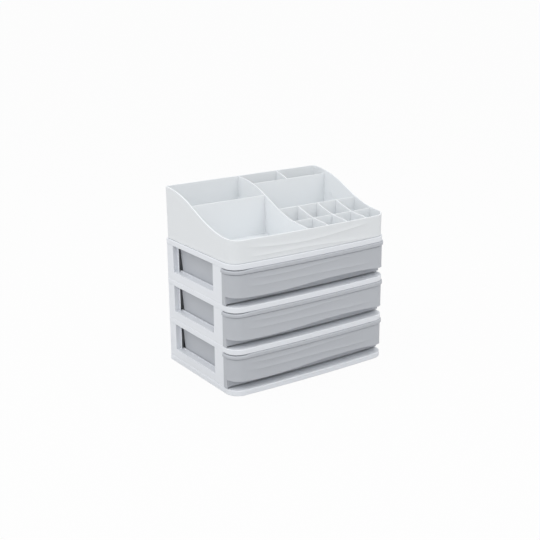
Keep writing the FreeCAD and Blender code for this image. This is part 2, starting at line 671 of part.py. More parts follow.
def drawer_front(label, height):
    """A drawer's front: a bowed skin with arms and bead, and a wave edge over a recess."""
    body = new_body(label)
    top = "bay_high - front_top_gap"
    past_back = "front_deep + margin"
    sketch = flat_sketch(body, "block", "front_foot_gap")
    arms(sketch, "0", "front_deep")
    pad(body, sketch, top + " - front_foot_gap")
    sketch = sketch_on(body, "XZ_Plane", "wave", "0 - margin / 2")
    wave_region(sketch)
    pocket(body, sketch, "front_deep + margin", False)
    sketch = flat_sketch(body, "upper_hollow", "lip_top")
    arms(sketch, "skin", past_back)
    pocket(body, sketch, top + " - skin - lip_top", True)
    sketch = flat_sketch(body, "box_opening", top)
    rectangle(sketch, "front_open_in", "width - front_open_in", "front_open_front", past_back)
    pocket(body, sketch, "skin * 2", False)
    sketch = flat_sketch(body, "recess_wall", "recess_foot_gap")
    behind_bow(sketch, "skin / 2", "width - recess_in", "recess_back", "front_deep")
    pad(body, sketch, "lip_top - recess_foot_gap")
    recess_side = number("margin + width - recess_in")
    wall_back = number("margin + front_deep - past")

    def recess_edge(middle, edge):
        upright = edge.BoundBox.ZMax - edge.BoundBox.ZMin > TOUCH
        at_side = abs(middle.x - recess_side) < TOUCH and edge.BoundBox.XLength < TOUCH
        return upright and at_side and middle.y < wall_back and edge.BoundBox.YLength < TOUCH

    fillet(body, "recess_corner", recess_edge)
    sketch = flat_sketch(body, "left_arm", "front_foot_gap")
    left_arm(sketch)
    pad(body, sketch, "lip_top - front_foot_gap")
    sketch = flat_sketch(body, "lower_hollow", "0")
    behind_bow(sketch, "skin", "width - recess_in - skin", "recess_back + skin", past_back)
    pocket(body, sketch, "lip_top + past", True)
    sketch = flat_sketch(body, "bead", top + " - bead_high")
    band(sketch, "0 - bead_out", "skin / 2", "front_deep")
    pad(body, sketch, "bead_high")
    corner = number("front_corner + bead_out / 2")
    outside = number("margin - bead_out / 2")
    far_side = number("margin + width + bead_out / 2")
    shortest = number("front_deep - corner_back - bead_out")
    widest = number("bow_radius / 2")
    levels = [number("margin + " + word) for word in (top, top + " - bead_high")]

    def bead_edge(middle, edge):
        box = edge.BoundBox
        level = box.ZMax - box.ZMin < TOUCH
        at_bead = any(abs(middle.z - z) < TOUCH for z in levels)
        beyond = middle.x < outside or middle.x > far_side or middle.y < outside
        round_edge = isinstance(edge.Curve, Part.Circle)
        bent = round_edge and corner < edge.Curve.Radius < widest
        return level and at_bead and (beyond and edge.Length > shortest or bent)

    fillet(body, "bead_round", bead_edge)
    place(body, height)


def rising_edge(body, drop):
    """Cuts away what stands above the tray's S-shaped side edge."""
    sketch = sketch_on(body, "YZ_Plane", "side_edge", "0")
    y0, y1 = number("margin / 2"), number("depth + margin * 1.5")
    ya, yb = number("margin + curve_front"), number("margin + curve_back")
    za = number("margin + tray_front_high - " + drop)
    zb = number("margin + tray_back_high - " + drop)
    slope = math.radians(number("curve_slope"))
    low = number("curve_radius")
    both = ((yb - ya) * math.sin(slope) - (zb - za) * math.cos(slope)) / (1 - math.cos(slope))
    high = both - low
    top = number("margin + tray_back_high + margin")
    centre_a = Vector(ya, za + low)
    centre_b = Vector(yb, zb - high)
    bend_a = Vector(ya + low * math.sin(slope), centre_a.y - low * math.cos(slope))
    bend_b = Vector(yb - high * math.sin(slope), centre_b.y + high * math.cos(slope))
    add = sketch.addGeometry
    up = Vector(0, 0, 1)
    add(Part.LineSegment(Vector(y0, za), Vector(ya, za)))
    add(Part.ArcOfCircle(Part.Circle(centre_a, up, low), -math.pi / 2, -math.pi / 2 + slope))
    add(Part.LineSegment(bend_a, bend_b))
    add(Part.ArcOfCircle(Part.Circle(centre_b, up, high), math.pi / 2, math.pi / 2 + slope))
    add(Part.LineSegment(Vector(yb, zb), Vector(y1, zb)))
    add(Part.LineSegment(Vector(y1, zb), Vector(y1, top)))
    add(Part.LineSegment(Vector(y1, top), Vector(y0, top)))
    add(Part.LineSegment(Vector(y0, top), Vector(y0, za)))
    join = sketch.addConstraint
    for a, a_end, b, b_end in ((0, 2, 1, 1), (1, 2, 2, 1), (2, 2, 3, 2), (3, 1, 4, 1)):
        join(Sketcher.Constraint("Tangent", a, a_end, b, b_end))
    for a, b in ((4, 5), (5, 6), (6, 7), (7, 0)):
        join(Sketcher.Constraint("Coincident", a, 2, b, 1))
    for item, kind in ((0, "Horizontal"), (4, "Horizontal"), (5, "Vertical"),
                       (6, "Horizontal"), (7, "Vertical")):
        join(Sketcher.Constraint(kind, item))
    bind(sketch, "Radius", (1,), "curve_radius")
    pin(sketch, 0, 2, "curve_front", "tray_front_high - " + drop)
    pin(sketch, 4, 1, "curve_back", "tray_back_high - " + drop)
    index = sketch.addConstraint(Sketcher.Constraint("Angle", 2, slope))
    sketch.setExpression("Constraints[%d]" % index, cells("curve_slope") + " * 1 deg")
    bind(sketch, "DistanceX", (-1, 1, 0, 1), "margin / 2")
    bind(sketch, "DistanceX", (-1, 1, 5, 1), "depth + margin * 1.5")
    bind(sketch, "DistanceY", (-1, 1, 6, 1), "margin + tray_back_high + margin")
    pocket(body, sketch, "width + margin * 2", True)


def tray_shell(label, height):
    """The tray: flared walls with a rising side edge, a floor and a foot ring."""
    body = new_body(label)
    low = flat_sketch(body, "foot_outline", "0")
    outline(low, "tray_in", "back_corner - tray_in / 2")
    high = flat_sketch(body, "rim_outline", "tray_back_high")
    outline(high, "tray_rim_in", "back_corner - tray_rim_in / 2")
    loft(body, "AdditiveLoft", low, high)
    low = flat_sketch(body, "floor_inside", "tray_foot + tray_floor")
    outline(low, "tray_in + tray_wall", "back_corner - tray_wall")
    high = flat_sketch(body, "rim_inside", "tray_back_high + sliver")
    outline(high, "tray_rim_in + tray_wall", "back_corner - tray_wall")
    loft(body, "SubtractiveLoft", low, high)
    sketch = flat_sketch(body, "foot_hollow", "0")
    outline(sketch, "tray_in + tray_wall", "back_corner - tray_in - tray_wall")
    pocket(body, sketch, "tray_foot", True)
    rising_edge(body, "0")
    place(body, height)


def divider_plate(label, height, left, right, front, back, drop, laps=(), laps_up=False):
    """An upright divider in the tray, with half-lap slots where others cross it."""
    body = new_body(label)
    floor = "tray_foot + tray_floor"
    sketch = flat_sketch(body, "foot", floor)
    rectangle(sketch, left, right, front, back)
    pad(body, sketch, "tray_back_high - tray_foot - tray_floor")
    rising_edge(body, drop)
    if laps:
        start = floor + " + lap_high" if laps_up else "0"
        sketch = flat_sketch(body, "laps", start)
        for x_low, x_high, y_low, y_high in laps:
            rectangle(sketch, x_low, x_high, y_low, y_high)
        length = "tray_back_high" if laps_up else floor + " + lap_high"
        pocket(body, sketch, length, True)
    place(body, height)


def around(middle, thick="divider"):
    """The two faces of a plate about its middle."""
    return middle + " - " + thick + " / 2", middle + " + " + thick + " / 2"


def dividers(height):
    """The plates that divide the tray into thirteen compartments."""
    near = "tray_in + tray_wall - embed"
    far_x = "width - ( tray_in + tray_wall - embed )"
    far_y = "depth - ( tray_in + tray_wall - embed )"
    long_left, long_right = around("long_at")
    divider_plate("long_divider", height, long_left, long_right, near, far_y, "divider_drop")
    divider_plate("left_cross_divider", height, near, long_left,
                  *around("left_cross_at"), "divider_drop")
    rear_front, rear_back = around("rear_cross_at")
    divider_plate("rear_cross_divider", height, long_right, far_x,
                  rear_front, rear_back, "rear_drop")
    middle = "( long_at + width - tray_in - tray_wall ) / 2"
    divider_plate("rear_short_divider", height, *around(middle),
                  rear_back, far_y, "short_drop")
    divider_plate("middle_cross_divider", height, long_right, far_x,
                  *around("middle_cross_at"), "divider_drop")
    cell = "( width - tray_in - tray_wall - long_at ) / 4"
    columns = ["long_at + " + cell + " * %d" % count for count in (1, 2, 3)]
    cross_front, cross_back = around("grid_cross_at")
    cross_laps = []
    for column in columns:
        left, right = around(column)
        cross_laps.append((left + " - lap_gap", right + " + lap_gap",
                           cross_front + " - past", cross_back + " + past"))
    divider_plate("grid_cross_divider", height, long_right, far_x,
                  cross_front, cross_back, "divider_drop", cross_laps, True)
    for name, column in zip(("left", "middle", "right"), columns):
        left, right = around(column)
        lap = (left + " - past", right + " + past",
               cross_front + " - lap_gap", cross_back + " + lap_gap")
        divider_plate("grid_%s_divider" % name, height, left, right,
                      near + " + " + bowed("( " + column + " )"),
                      "middle_cross_at - divider / 2", "divider_drop", [lap], False)


pitch = "( plate_high + bay_high )"
plate("base_plate", "0", True, False)
plate("lower_shelf", pitch, True, False)
plate("upper_shelf", pitch + " * 2", True, False)
plate("top_plate", pitch + " * 3", False, True)
for count, tier in enumerate(TIERS):
    deck = pitch + " * %d + plate_high" % count
    side_frame(tier + "_left_side", deck, False)
    side_frame(tier + "_right_side", deck, True)
    back_panel(tier + "_back_panel", deck)
    drawer_box(tier + "_drawer_box", deck)
    drawer_front(tier + "_drawer_front", deck)
tray_height = pitch + " * 3 + plate_high + tray_gap"
tray_shell("tray_shell", tray_height)
dividers(tray_height)
doc.recompute()

for item in doc.Objects:
    if "Invalid" in item.State or "Error" in item.State:
        raise RuntimeError(item.Label + " failed: " + ", ".join(item.State))

parts = [item for item in doc.Objects if item.TypeId == "PartDesign::Body"]
for part in parts:
    shape = part.Shape
    if shape.isNull() or not shape.isValid():
        raise RuntimeError(part.Label + " has no valid shape")

os.makedirs("parts", exist_ok=True)
for part in parts:
    part.Shape.exportStep("parts/" + part.Label + ".step")
    box = part.Shape.BoundBox
    print("%-22s %8.1f cm3  z %.1f to %.1f" % (
        part.Label, part.Shape.Volume / 1000, box.ZMin, box.ZMax))
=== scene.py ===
# Looks of the makeup organizer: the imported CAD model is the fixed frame, and the
# moulded pieces get softened edges, the flowing relief and satin plastic here.
import math

import bmesh
import bpy
from mathutils import Matrix, Vector


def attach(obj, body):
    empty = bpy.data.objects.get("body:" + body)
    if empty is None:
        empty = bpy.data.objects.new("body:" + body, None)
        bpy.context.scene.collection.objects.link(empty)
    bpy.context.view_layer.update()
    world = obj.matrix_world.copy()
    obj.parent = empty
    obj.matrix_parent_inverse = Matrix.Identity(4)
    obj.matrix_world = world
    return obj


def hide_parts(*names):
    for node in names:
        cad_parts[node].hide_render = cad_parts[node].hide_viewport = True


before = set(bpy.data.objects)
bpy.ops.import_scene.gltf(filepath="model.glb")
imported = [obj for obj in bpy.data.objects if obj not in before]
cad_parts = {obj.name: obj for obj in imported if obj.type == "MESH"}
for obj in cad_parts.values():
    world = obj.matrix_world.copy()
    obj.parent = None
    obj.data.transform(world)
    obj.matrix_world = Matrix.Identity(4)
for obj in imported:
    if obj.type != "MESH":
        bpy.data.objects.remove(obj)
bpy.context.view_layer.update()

MM = 0.001
LEFT = (-1.0, 0.0)
RIGHT = (1.0, 0.0)
BACK = (0.0, 1.0)

# The plates' outline, in millimetres. The front is gently bowed, and the corners meet the bow.
WIDTH = 300.0
DEPTH = 204.0
BOW_RADIUS = 2600.0
FRONT_RADIUS = 22.0
REACH = BOW_RADIUS - FRONT_RADIUS
BOW_TURN = math.degrees(math.asin((WIDTH / 2 - FRONT_RADIUS) / REACH))
CORNER_BACK = BOW_RADIUS - math.sqrt(REACH ** 2 - (WIDTH / 2 - FRONT_RADIUS) ** 2)
PITCH = 67.0
PLATE_HIGH = 9.0
SKIN = 2.2
BEAD_OUT = 1.8
TIERS = ["lower", "middle", "upper"]

# Where the CAD frame puts the outline's front left corner.
SHIFT_X = -WIDTH / 2
SHIFT_Y = BEAD_OUT / 2 - DEPTH / 2


def metres(x, y, z):
    """A point of the outline's own coordinates as a point of the CAD frame."""
    return Vector(((x + SHIFT_X) * MM, (y + SHIFT_Y) * MM, z * MM))


def ease(t):
    """A smooth step from 0 to 1."""
    t = min(max(t, 0.0), 1.0)
    return t * t * (3 - 2 * t)


def fade(x, start, end):
    """A strength that comes in softly over one stretch and dies away over another."""
    coming = ease((x - start[0]) / (start[1] - start[0]))
    going = ease((x - end[0]) / (end[1] - end[0]))
    return coming * (1 - going)


def bow(x):
    """How far back the bowed front lies at a place across it."""
    return BOW_RADIUS - math.sqrt(BOW_RADIUS ** 2 - (x - WIDTH / 2) ** 2)


# Paths and sweeps
ARC_STEPS = 14
RUN_STEP = 2.5


def arc(cx, cy, radius, start, end, steps):
    """Places and outward directions along an arc, counter-clockwise, angles in degrees."""
    out = []
    for i in range(steps + 1):
        angle = math.radians(start + (end - start) * i / steps)
        n = (math.cos(angle), math.sin(angle))
        out.append(((cx + radius * n[0], cy + radius * n[1]), n))
    return out


def run(a, b, normal):
    """Places strictly between two points, with one outward direction."""
    count = max(1, round(math.dist(a, b) / RUN_STEP))
    out = []
    for i in range(1, count):
        t = i / count
        out.append(((a[0] + (b[0] - a[0]) * t, a[1] + (b[1] - a[1]) * t), normal))
    return out


def left_corner(start, end, steps):
    """A stretch of the front left corner."""
    return arc(FRONT_RADIUS, CORNER_BACK, FRONT_RADIUS, start, end, steps)


def bowed_front():
    """The bow and the front right corner, from the left corner's end."""
    steps = round(2 * (WIDTH / 2 - FRONT_RADIUS) / RUN_STEP)
    path = arc(WIDTH / 2, BOW_RADIUS, BOW_RADIUS, 270 - BOW_TURN, 270 + BOW_TURN, steps)[1:-1]
    path += arc(WIDTH - FRONT_RADIUS, CORNER_BACK, FRONT_RADIUS, 270 + BOW_TURN, 360, ARC_STEPS)
    return path


def closed_path(back_radius):
    """The whole outline, with its own radius at the back corners."""
    x0, x1, y1 = back_radius, WIDTH - back_radius, DEPTH - back_radius
    path = left_corner(180, 270 - BOW_TURN, ARC_STEPS)
    path += bowed_front()
    path += run((WIDTH, CORNER_BACK), (WIDTH, y1), RIGHT)
    path += arc(x1, y1, back_radius, 0, 90, ARC_STEPS // 2)
    path += run((x1, DEPTH), (x0, DEPTH), BACK)
    path += arc(x0, y1, back_radius, 90, 180, ARC_STEPS // 2)
    path += run((0.0, y1), (0.0, CORNER_BACK), LEFT)
    return path


def quarter(centre_out, centre_up, radius, start, steps, clockwise=False):
    """Points of a quarter turn in a section, from an angle in degrees."""
    turn = -90.0 if clockwise else 90.0
    out = []
    for k in range(steps + 1):
        angle = math.radians(start + turn * k / steps)
        out.append((centre_out + radius * math.cos(angle), centre_up + radius * math.sin(angle)))
    return out


def sweep(name, path, profile, closed, base_z, floor_row=None):
    """A closed shell: profile(place, normal) gives the loop of (out, up) along the path.

    Where floor_row is given, the two rows that start there are joined across the middle.
    """
    bm = bmesh.new()
    rings = []
    for place, normal in path:
        ring = []
        for out, up in profile(place, normal):
            ring.append(bm.verts.new(metres(place[0] + normal[0] * out,
                                            place[1] + normal[1] * out, base_z + up)))
        rings.append(ring)
    pairs = list(zip(rings, rings[1:]))
    if closed:
        pairs.append((rings[-1], rings[0]))
    size = len(rings[0])
    for a, b in pairs:
        for i in range(size):
            if i != floor_row:
                j = (i + 1) % size
                bm.faces.new((a[i], a[j], b[j], b[i]))
    if floor_row is not None:
        bm.faces.new([ring[floor_row] for ring in rings])
        bm.faces.new([ring[floor_row + 1] for ring in reversed(rings)])
    if not closed:
        bm.faces.new(rings[0])
        bm.faces.new(list(reversed(rings[-1])))
    bmesh.ops.recalc_face_normals(bm, faces=bm.faces)
    return finished(bm, name)


def finished(bm, name):
    """The mesh of a finished shape."""
    mesh = bpy.data.meshes.new(name)
    bm.to_mesh(mesh)
    bm.free()
    return mesh


def piece(name, mesh, body, slot, nodes):
    """A shown piece that rides on a body and stands for the CAD nodes."""
    obj = bpy.data.objects.new(name, mesh)
    bpy.context.scene.collection.objects.link(obj)
    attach(obj, body)
    if nodes:
        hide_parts(*nodes)
    obj.data.materials.clear()
    obj.data.materials.append(MATERIALS[slot])
    return obj


SMOOTH_ANGLE = math.radians(32)


def smooth(obj):
    """Smooth shading that keeps sharp edges sharp."""
    for face in obj.data.polygons:
        face.use_smooth = True
    obj.data.set_sharp_from_angle(angle=SMOOTH_ANGLE)


# Materials
PLASTIC_IOR = 1.46
SUBSURFACE = 0.06
SUBSURFACE_REACH = 0.004
TONE_SCALE = 9.0
TONE_CHANGE = 0.015
ROUGH_CHANGE = 0.04
GRAIN_SCALE = 2600.0
NOISE_DETAIL = 2.0
BUMP_STRENGTH = 0.12
BUMP_DEPTH = 0.00003


def satin(name, colour, roughness, seed):
    """Satin moulded plastic: a fine grain and faint, wide changes of tone."""
    mat = bpy.data.materials.new(name)
    mat.use_nodes = True
    nodes, links = mat.node_tree.nodes, mat.node_tree.links
    shader = nodes["Principled BSDF"]
    shader.inputs["IOR"].default_value = PLASTIC_IOR
    shader.inputs["Subsurface Weight"].default_value = SUBSURFACE
    shader.inputs["Subsurface Radius"].default_value = (SUBSURFACE_REACH,) * 3
    shader.inputs["Subsurface Scale"].default_value = 1.0
    where = nodes.new("ShaderNodeTexCoord")
    wide = nodes.new("ShaderNodeTexNoise")
    wide.noise_dimensions = "4D"
    wide.inputs["W"].default_value = seed
    wide.inputs["Scale"].default_value = TONE_SCALE
    wide.inputs["Detail"].default_value = NOISE_DETAIL
    tone = nodes.new("ShaderNodeMix")
    tone.data_type = "RGBA"
    tone.inputs["A"].default_value = (*[c * (1 - TONE_CHANGE) for c in colour], 1)
    tone.inputs["B"].default_value = (*[c * (1 + TONE_CHANGE) for c in colour], 1)
    grain = nodes.new("ShaderNodeTexNoise")
    grain.inputs["Scale"].default_value = GRAIN_SCALE
    grain.inputs["Detail"].default_value = NOISE_DETAIL
    rough = nodes.new("ShaderNodeMapRange")
    rough.inputs["To Min"].default_value = roughness - ROUGH_CHANGE
    rough.inputs["To Max"].default_value = roughness + ROUGH_CHANGE
    bump = nodes.new("ShaderNodeBump")
    bump.inputs["Strength"].default_value = BUMP_STRENGTH
    bump.inputs["Distance"].default_value = BUMP_DEPTH
    links.new(where.outputs["Object"], wide.inputs["Vector"])
    links.new(where.outputs["Object"], grain.inputs["Vector"])
    links.new(wide.outputs["Fac"], tone.inputs["Factor"])
    links.new(tone.outputs["Result"], shader.inputs["Base Color"])
    links.new(wide.outputs["Fac"], rough.inputs["Value"])
    links.new(rough.outputs["Result"], shader.inputs["Roughness"])
    links.new(grain.outputs["Fac"], bump.inputs["Height"])
    links.new(bump.outputs["Normal"], shader.inputs["Normal"])
    return mat


MATERIALS = {
    "frame": satin("white_satin_plastic", (0.80, 0.825, 0.865), 0.42, 1.0),
    "drawer": satin("grey_satin_plastic", (0.50, 0.52, 0.555), 0.45, 2.0),
    "tray": satin("pale_satin_plastic", (0.785, 0.81, 0.83), 0.40, 3.0),
}


# The flowing relief: soft crests along two lines, and a lower one along the foot.
CREST = 0.9
LIP_CREST = 0.35
CREST_REACH = 6.0
SPREAD = (0.0, 0.03, 0.09, 0.18, 0.3, 0.4, 0.5, 0.6, 0.7, 0.82, 0.91, 0.97)
# The lines are level left of this place.
LINE_END = 24.0
# Where the crests come in at the left, and where each dies away at the right.
CRESTS_IN = (20, 60)
DRAWER_LOW_OUT = (225, 282)
DRAWER_HIGH_OUT = (170, 270)
TRAY_LOW_OUT = (235, 282)
TRAY_HIGH_OUT = (225, 275)


def curl(x, start, reach, rise):
    """How far a line curls up towards the left of a place."""
    return rise * (max(0.0, start - max(x, LINE_END)) / reach) ** 2


def climb(x, start, reach, rise):
    """How far a line has climbed softly over a stretch that begins at a place."""
    return rise * ease((x - start) / reach)


def swing(x, start, reach, rise, power):
    """How far a line swings up towards the right of a place."""
    return rise * (max(0.0, x - start) / reach) ** power


def drawer_lines(x):
    """Heights of the two relief lines on a drawer front, above the deck."""
    low = (30.3 + curl(x, start=60, reach=32, rise=1.7)
           - climb(x, start=150, reach=110, rise=2.2))
    high = (42.0 + curl(x, start=85, reach=40, rise=0.9)
            + climb(x, start=85, reach=120, rise=3.6))
    return low, high


def tray_lines(x):
    """Heights of the two relief lines on the tray's front, above the tray's foot."""
    low = 8.4 - climb(x, start=120, reach=165, rise=6.0)
    high = (17.8 + curl(x, start=135, reach=101, rise=5.4)
            + swing(x, start=135, reach=125, rise=9.2, power=1.38))
    return low, high


def relief_rows(bottom, top, crests):
    """Rows (out, up) from bottom to top: the face curves out to a crest at each line."""
    stops = [bottom] + [line for line, rise in crests] + [top]
    rows = []
    for start, end in zip(stops, stops[1:]):
        for share in SPREAD:
            up = start + (end - start) * share
            out = 0.0
            for line, rise in [(bottom, LIP_CREST)] + crests:
                out += rise * max(0.0, 1 - abs(up - line) / CREST_REACH) ** 2
            rows.append((out, up))
    return rows


# Drawer fronts: heights are above the deck.
FRONT_DEEP = 31.0
FRONT_TOP = 56.8
ARM_FOOT = 0.8
BEAD_FOOT = FRONT_TOP - 5.0
BEAD_ROUND = 1.7
BEAD_FOOT_ROUND = 0.4
BEAD_GROOVE = 1.3
# The bead's top is lifted a little, except at the left corner.
BEAD_LIFT = 1.1
LIFT_START = 14.0
LIFT_STRETCH = 26.0
RECESS_BACK = 18.0
RECESS_SIDE = 0.4
RECESS_CORNER = 3.0
RECESS_END = 22.0
RECESS_FOOT = 2.7
LIP_TOP = 20.5
LIP_ROUND = 0.7
OPEN_SIDE = 10.6
OPEN_FRONT = 22.3
WALL_STEPS = 60
# How finely a section looks for the place where an area begins.
SEARCH_STEP = 0.5
SEARCH_HALVINGS = 12

# The wave edge: its places across the front, and its heights.
WAVE_PAST = 1.0
WAVE_START = 15.4
WAVE_RISE = 14.2
WAVE_LOW_AT = 55.0
WAVE_LOW = 13.3
WAVE_TOP_AT = 205.0
WAVE_TOP = 18.1
WAVE_BEND = 15.0
WAVE_END = 12.6


def wave_edge(x):
    """Height of the finger recess's wave-shaped upper edge."""
    left, right = FRONT_RADIUS, WIDTH - FRONT_RADIUS
    if x < left:
        return WAVE_RISE + (WAVE_START - WAVE_RISE) * (left - x) / (left + WAVE_PAST)
    if x < WAVE_LOW_AT:
        t = (WAVE_LOW_AT - x) / (WAVE_LOW_AT - left)
        return WAVE_LOW + (WAVE_RISE - WAVE_LOW) * t ** 2
    if x < WAVE_TOP_AT:
        t = (x - WAVE_LOW_AT) / (WAVE_TOP_AT - WAVE_LOW_AT)
        rise = 2 * t * t if t < 0.5 else 1 - 2 * (1 - t) ** 2
        return WAVE_LOW + (WAVE_TOP - WAVE_LOW) * rise
    if x < right:
        t = (x - WAVE_TOP_AT) / (right - WAVE_TOP_AT)
        return WAVE_TOP - (WAVE_TOP - WAVE_BEND) * t ** 2
    return WAVE_BEND - (WAVE_BEND - WAVE_END) * (x - right) / (WIDTH + WAVE_PAST - right)


def depth_to(place, normal, inside):
    """How far inwards from a place of the outline an area begins."""
    low, high = 0.0, SEARCH_STEP
    while not inside(place[0] - normal[0] * high, place[1] - normal[1] * high):
        low, high = high, high + SEARCH_STEP
    for step in range(SEARCH_HALVINGS):
        middle = (low + high) / 2
        if inside(place[0] - normal[0] * middle, place[1] - normal[1] * middle):
            high = middle
        else:
            low = middle
    return high


def in_wall(x, y):
    """Whether a place lies behind the recess wall's face."""
    return y > RECESS_BACK + bow(x) and x < WIDTH - RECESS_SIDE


def in_opening(x, y):
    """Whether a place lies in the opening over the drawer box."""
    return y > OPEN_FRONT and OPEN_SIDE < x < WIDTH - OPEN_SIDE


def lip(foot):
    """The rounded lower edge of the skin, up to where the relief begins."""
    return quarter(LIP_CREST - LIP_ROUND, foot + LIP_ROUND, LIP_ROUND, 270, steps=5)[:-1]


def bead_and_flange(place, normal):
    """The bead, the flange over the box and the inside of the skin, downwards."""
    flange = depth_to(place, normal, in_opening)
    top = FRONT_TOP + BEAD_LIFT * ease((place[0] - LIFT_START) / LIFT_STRETCH)
    out = [(-BEAD_GROOVE, BEAD_FOOT - BEAD_GROOVE / 2), (-BEAD_GROOVE, BEAD_FOOT)]
    out += quarter(BEAD_OUT - BEAD_FOOT_ROUND, BEAD_FOOT + BEAD_FOOT_ROUND, BEAD_FOOT_ROUND,
                   270, steps=4)
    out += quarter(BEAD_OUT - BEAD_ROUND, top - BEAD_ROUND, BEAD_ROUND, 0, steps=6)
    out += [(-flange, top), (-flange, FRONT_TOP - SKIN), (-SKIN, FRONT_TOP - SKIN)]
    return out


def front_profile(place, normal):
    """Section of a drawer front where the finger recess runs under its lip."""
    x = place[0]
    edge = wave_edge(x)
    low, high = drawer_lines(x)
    deep = depth_to(place, normal, in_wall) + SKIN / 2
    crests = [(low, CREST * fade(x, CRESTS_IN, DRAWER_LOW_OUT)),
              (high, CREST * fade(x, CRESTS_IN, DRAWER_HIGH_OUT))]
    loop = [(-deep, edge)] + lip(edge)
    loop += relief_rows(edge + LIP_ROUND, BEAD_FOOT - BEAD_GROOVE, crests)
    loop += bead_and_flange(place, normal)
    loop += [(-SKIN, LIP_TOP), (-deep, LIP_TOP)]
    return loop


def arm_profile(place, normal):
    """Section of the left arm, beside the recess."""
    plain_lines = [(line, 0.0) for line in drawer_lines(place[0])]
    loop = [(-SKIN, ARM_FOOT)] + lip(ARM_FOOT)
    loop += relief_rows(ARM_FOOT + LIP_ROUND, BEAD_FOOT - BEAD_GROOVE, plain_lines)
    loop += bead_and_flange(place, normal)
    return loop


def wall_profile(place, normal):
    """Section of the wall behind the finger recess."""
    top = LIP_TOP - LIP_ROUND
    face = quarter(-LIP_ROUND, RECESS_FOOT + LIP_ROUND, LIP_ROUND, 270, steps=4)
    return [(-SKIN, RECESS_FOOT)] + face + [(0.0, top), (-SKIN, top)]


def wall_path():
    """The recess wall's face, from behind the left arm to the right side's back end."""
    side = WIDTH - RECESS_SIDE
    turn_x = side - RECESS_CORNER
    radius = BOW_RADIUS - RECESS_BACK
    left = math.degrees(math.asin((WIDTH / 2 - SKIN / 2) / radius))
    right = math.degrees(math.asin((turn_x - WIDTH / 2) / radius))
    turn_y = RECESS_BACK + bow(turn_x) + RECESS_CORNER
    path = arc(WIDTH / 2, BOW_RADIUS, radius, 270 - left, 270 + right, WALL_STEPS)
    path += arc(turn_x, turn_y, RECESS_CORNER, 270 + right, 360, 6)[1:]
    path.append(((side, FRONT_DEEP), RIGHT))
    return path


def drawer_front(tier, deck):
    """One drawer front: the skin with its lip, the left arm and the recess wall."""
    split = 180 + math.degrees(math.asin((CORNER_BACK - RECESS_END) / FRONT_RADIUS))
    arm = [((0.0, FRONT_DEEP), LEFT)]
    arm += run((0.0, FRONT_DEEP), (0.0, CORNER_BACK), LEFT)
    arm += left_corner(180, split, ARC_STEPS // 2)
    main = left_corner(split, 270 - BOW_TURN, ARC_STEPS)
    main += bowed_front()
    main += run((WIDTH, CORNER_BACK), (WIDTH, FRONT_DEEP), RIGHT)
    main.append(((WIDTH, FRONT_DEEP), RIGHT))
    bm = bmesh.new()
    for path, profile in ((main, front_profile), (arm, arm_profile), (wall_path(), wall_profile)):
        mesh = sweep(tier, path, profile, False, deck)
        bm.from_mesh(mesh)
        bpy.data.meshes.remove(mesh)
    name = tier + "_front_shown"
    smooth(piece(name, finished(bm, name), tier + "_drawer", "drawer", [tier + "_drawer_front"]))


# Tray: heights are above its foot.
TRAY_FOOT_Z = 210.3
TRAY_IN = 2.2
TRAY_RIM_IN = 1.5
TRAY_WALL = 2.5
TRAY_FLOOR = 2.6
TRAY_UNDER = 0.8
TRAY_FRONT_HIGH = 35.3
TRAY_BACK_HIGH = 84.7
TRAY_LEAN = (TRAY_IN - TRAY_RIM_IN) / TRAY_BACK_HIGH
# The back corners' radius where the outline runs, outside the tray's own wall.
TRAY_BACK_RADIUS = 8.1
CURVE_FRONT = 15.0
CURVE_BACK = 200.0
CURVE_RADIUS = 180.0
CURVE_SLOPE = math.radians(26)
# The side edge is a little fuller than its two arcs over the lower bend.
CURVE_FULLER = 2.2
FULLER_IN = (2, 20)
FULLER_OUT = (70, 140)
RIM_ROUND = 0.9
FOOT_EDGE_HIGH = 0.4
FOOT_EDGE_IN = 0.35
LINE_UNDER_RIM = 2.0
FLOOR_ROUND = 1.2
FLOOR_LAP = 3.0
# The floor's upper and lower face begin at the fourth and third row from a section's end.
FLOOR_ROWS = 4


def side_curve(y):
    """Height of two arcs with a straight slope between them."""
    rise = TRAY_BACK_HIGH - TRAY_FRONT_HIGH
    length = CURVE_BACK - CURVE_FRONT
    sin, cos = math.sin(CURVE_SLOPE), math.cos(CURVE_SLOPE)
    upper = (length * sin - rise * cos) / (1 - cos) - CURVE_RADIUS
    low_end = CURVE_FRONT + CURVE_RADIUS * sin
    high_start = CURVE_BACK - upper * sin
    if y <= CURVE_FRONT:
        return TRAY_FRONT_HIGH
    if y < low_end:
        below = math.sqrt(CURVE_RADIUS ** 2 - (y - CURVE_FRONT) ** 2)
        return TRAY_FRONT_HIGH + CURVE_RADIUS - below
    if y < high_start:
        start = TRAY_FRONT_HIGH + CURVE_RADIUS * (1 - cos)
        return start + (y - low_end) * math.tan(CURVE_SLOPE)
    if y < CURVE_BACK:
        return TRAY_BACK_HIGH - upper + math.sqrt(upper ** 2 - (CURVE_BACK - y) ** 2)
    return TRAY_BACK_HIGH


def side_edge(y):
    """Height of the tray's side edge."""
    return side_curve(y) + CURVE_FULLER * fade(y, FULLER_IN, FULLER_OUT)


def tray_face(up):
    """Where the leaning outer face stands at a height, outwards from the outline."""
    return TRAY_LEAN * up - TRAY_IN


